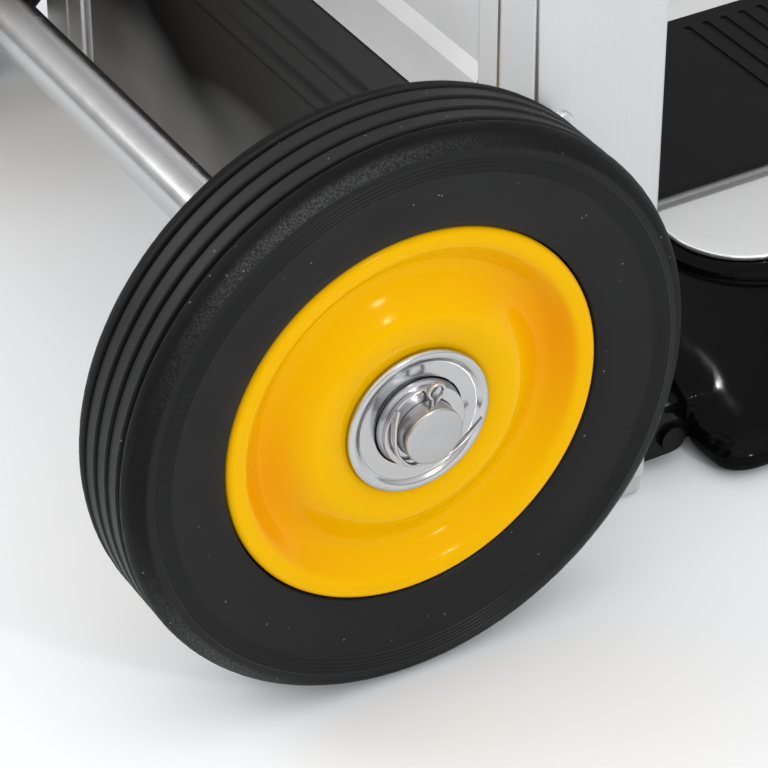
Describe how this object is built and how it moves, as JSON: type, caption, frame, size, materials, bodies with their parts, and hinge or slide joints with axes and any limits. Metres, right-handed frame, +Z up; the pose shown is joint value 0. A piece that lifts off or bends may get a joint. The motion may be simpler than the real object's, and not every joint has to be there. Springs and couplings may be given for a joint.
{
  "type": "folding transport trolley",
  "caption": "Aluminium shopping and transport trolley with rubber-tyred yellow wheels, a telescopic handle and a folding toe plate.",
  "frame": {"origin": "centre of the footprint at floor level", "axes": "+X along the axle, -Y towards the toe plate, +Z up"},
  "size_m": [0.472, 0.475, 1.0565],
  "materials": {
    "tyre_rubber": "matt, fine grain with worn tread ribs",
    "yellow_paint": "high gloss",
    "bright_zinc": "bright plated, faint turning lines",
    "bearing_steel": "ground",
    "black_gloss_steel": "gloss",
    "aluminium": "satin extruded",
    "polished_aluminium": "polished",
    "grey_plastic": "moulded",
    "black_plastic": "fine moulded grain",
    "black_gloss_plastic": "gloss",
    "yellow_plastic": "gloss",
    "grip_rubber": "matt"
  },
  "bodies": {
    "frame": {"axle": "bright_zinc", "axle_bracket_left": "black_gloss_steel", "axle_bracket_right": "black_gloss_steel", "axle_spacer_left": "bright_zinc", "axle_spacer_right": "bright_zinc", "axle_washers_left": "bright_zinc", "axle_washers_right": "bright_zinc", "bearing_cones_left": "bearing_steel", "bearing_cones_right": "bearing_steel", "bracket_bolts": "bright_zinc", "collar_left": "black_plastic", "collar_right": "black_plastic", "cross_panel": "black_gloss_steel", "crossbar_rivets": "aluminium", "foot_plug_left": "grey_plastic", "foot_plug_right": "grey_plastic", "hinge_bracket_left": "black_gloss_steel", "hinge_bracket_right": "black_gloss_steel", "hinge_pins": "black_gloss_steel", "lower_crossbar": "aluminium", "split_pin_left": "bright_zinc", "split_pin_right": "bright_zinc", "upper_crossbar": "aluminium", "upright_left": "aluminium", "upright_right": "aluminium"},
    "wheel_left": {"tyre_left": "tyre_rubber", "rim_outer_half_left": "yellow_paint", "rim_inner_half_left": "yellow_paint", "bearing_cups_left": "bright_zinc", "bearing_balls_left": "bearing_steel"},
    "wheel_right": {"tyre_right": "tyre_rubber", "rim_outer_half_right": "yellow_paint", "rim_inner_half_right": "yellow_paint", "bearing_cups_right": "bright_zinc", "bearing_balls_right": "bearing_steel"},
    "handle": {"slide_tube_left": "aluminium", "slide_tube_right": "aluminium", "guide_shoe_left": "black_plastic", "guide_shoe_right": "black_plastic", "handle_corner_left": "black_plastic", "handle_corner_right": "black_plastic", "handle_bar": "aluminium", "handle_grip": "grip_rubber"},
    "toe_plate": {"toe_base": "black_gloss_plastic", "toe_knuckle_left": "black_gloss_steel", "toe_knuckle_right": "black_gloss_steel", "toe_deck": "polished_aluminium", "toe_pad": "grip_rubber", "toe_rivets": "aluminium"},
    "button_left": {"release_button_left": "yellow_plastic"},
    "button_right": {"release_button_right": "yellow_plastic"}
  },
  "joints": [
    {"name": "wheel_left_spin", "type": "hinge", "parent": "frame", "child": "wheel_left", "pos_m": [-0.2075, 0.1375, 0.1], "axis": [1, 0, 0], "continuous": true},
    {"name": "wheel_right_spin", "type": "hinge", "parent": "frame", "child": "wheel_right", "pos_m": [0.2075, 0.1375, 0.1], "axis": [1, 0, 0], "continuous": true},
    {"name": "handle_slide", "type": "slide", "parent": "frame", "child": "handle", "axis": [0, 0, 1], "range_m": [-0.34, 0]},
    {"name": "toe_plate_fold", "type": "hinge", "parent": "frame", "child": "toe_plate", "pos_m": [0, 0.0035, 0.012], "axis": [-1, 0, 0], "range_deg": [0, 90]},
    {"name": "button_left_press", "type": "slide", "parent": "frame", "child": "button_left", "axis": [1, 0, 0], "range_m": [0, 0.0025], "stiffness_N_per_m": 800, "springref_m": -0.002},
    {"name": "button_right_press", "type": "slide", "parent": "frame", "child": "button_right", "axis": [-1, 0, 0], "range_m": [0, 0.0025], "stiffness_N_per_m": 800, "springref_m": -0.002}
  ]
}
